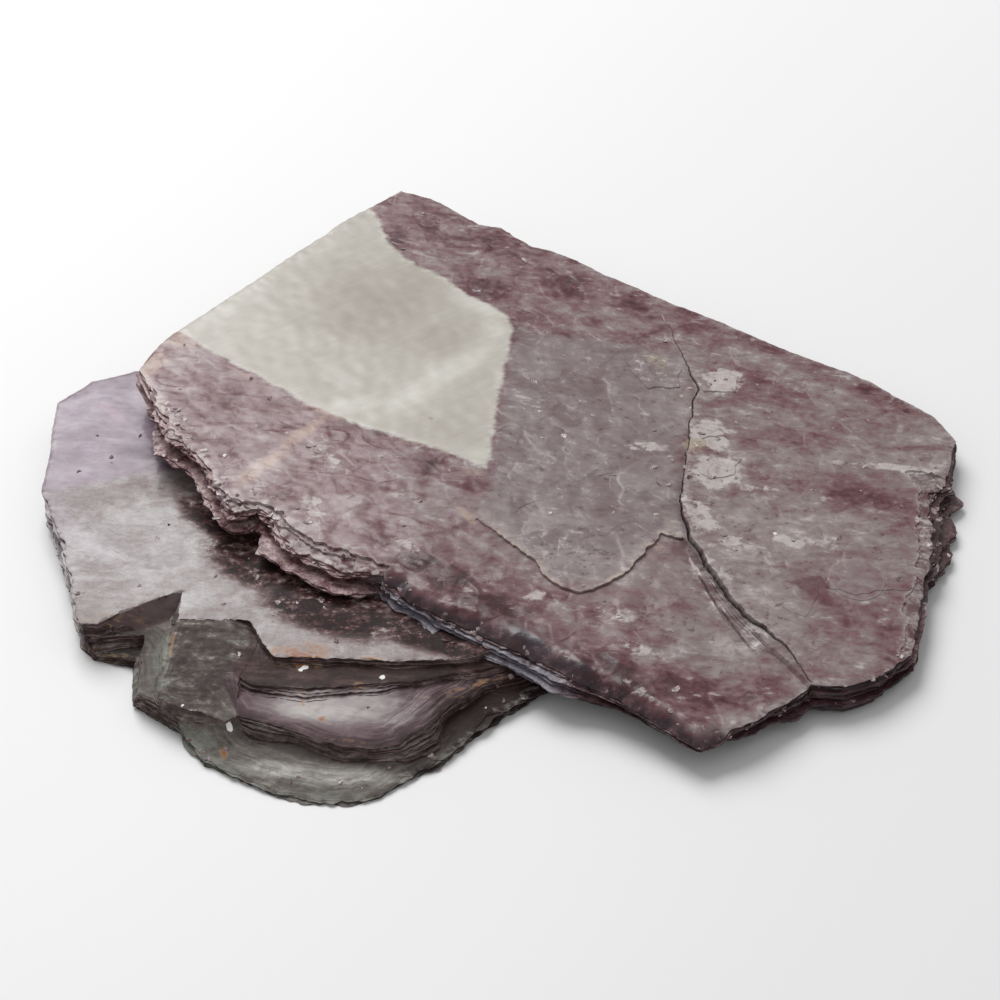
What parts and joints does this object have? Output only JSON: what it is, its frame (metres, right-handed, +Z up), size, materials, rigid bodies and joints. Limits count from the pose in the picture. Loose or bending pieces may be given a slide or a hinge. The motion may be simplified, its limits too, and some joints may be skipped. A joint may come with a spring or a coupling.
{
  "type": "mica crystal",
  "caption": "Flat purple mica crystal of two leafy books, a large plate with ragged layered edges lying aslant over a smaller stepped one.",
  "frame": {"origin": "centre of the crystal's footprint box, on the surface that it rests on", "axes": "+Z up, away from the surface; +X along the long side, towards the large plate's free end; +Y towards the back"},
  "size_m": [0.0938, 0.089, 0.0086],
  "materials": {
    "mica": "pearly, glossy on the cleavage faces, dark and glittery on the leaf edges"
  },
  "bodies": {
    "root": {"mica_crystal": "mica"}
  },
  "joints": []
}
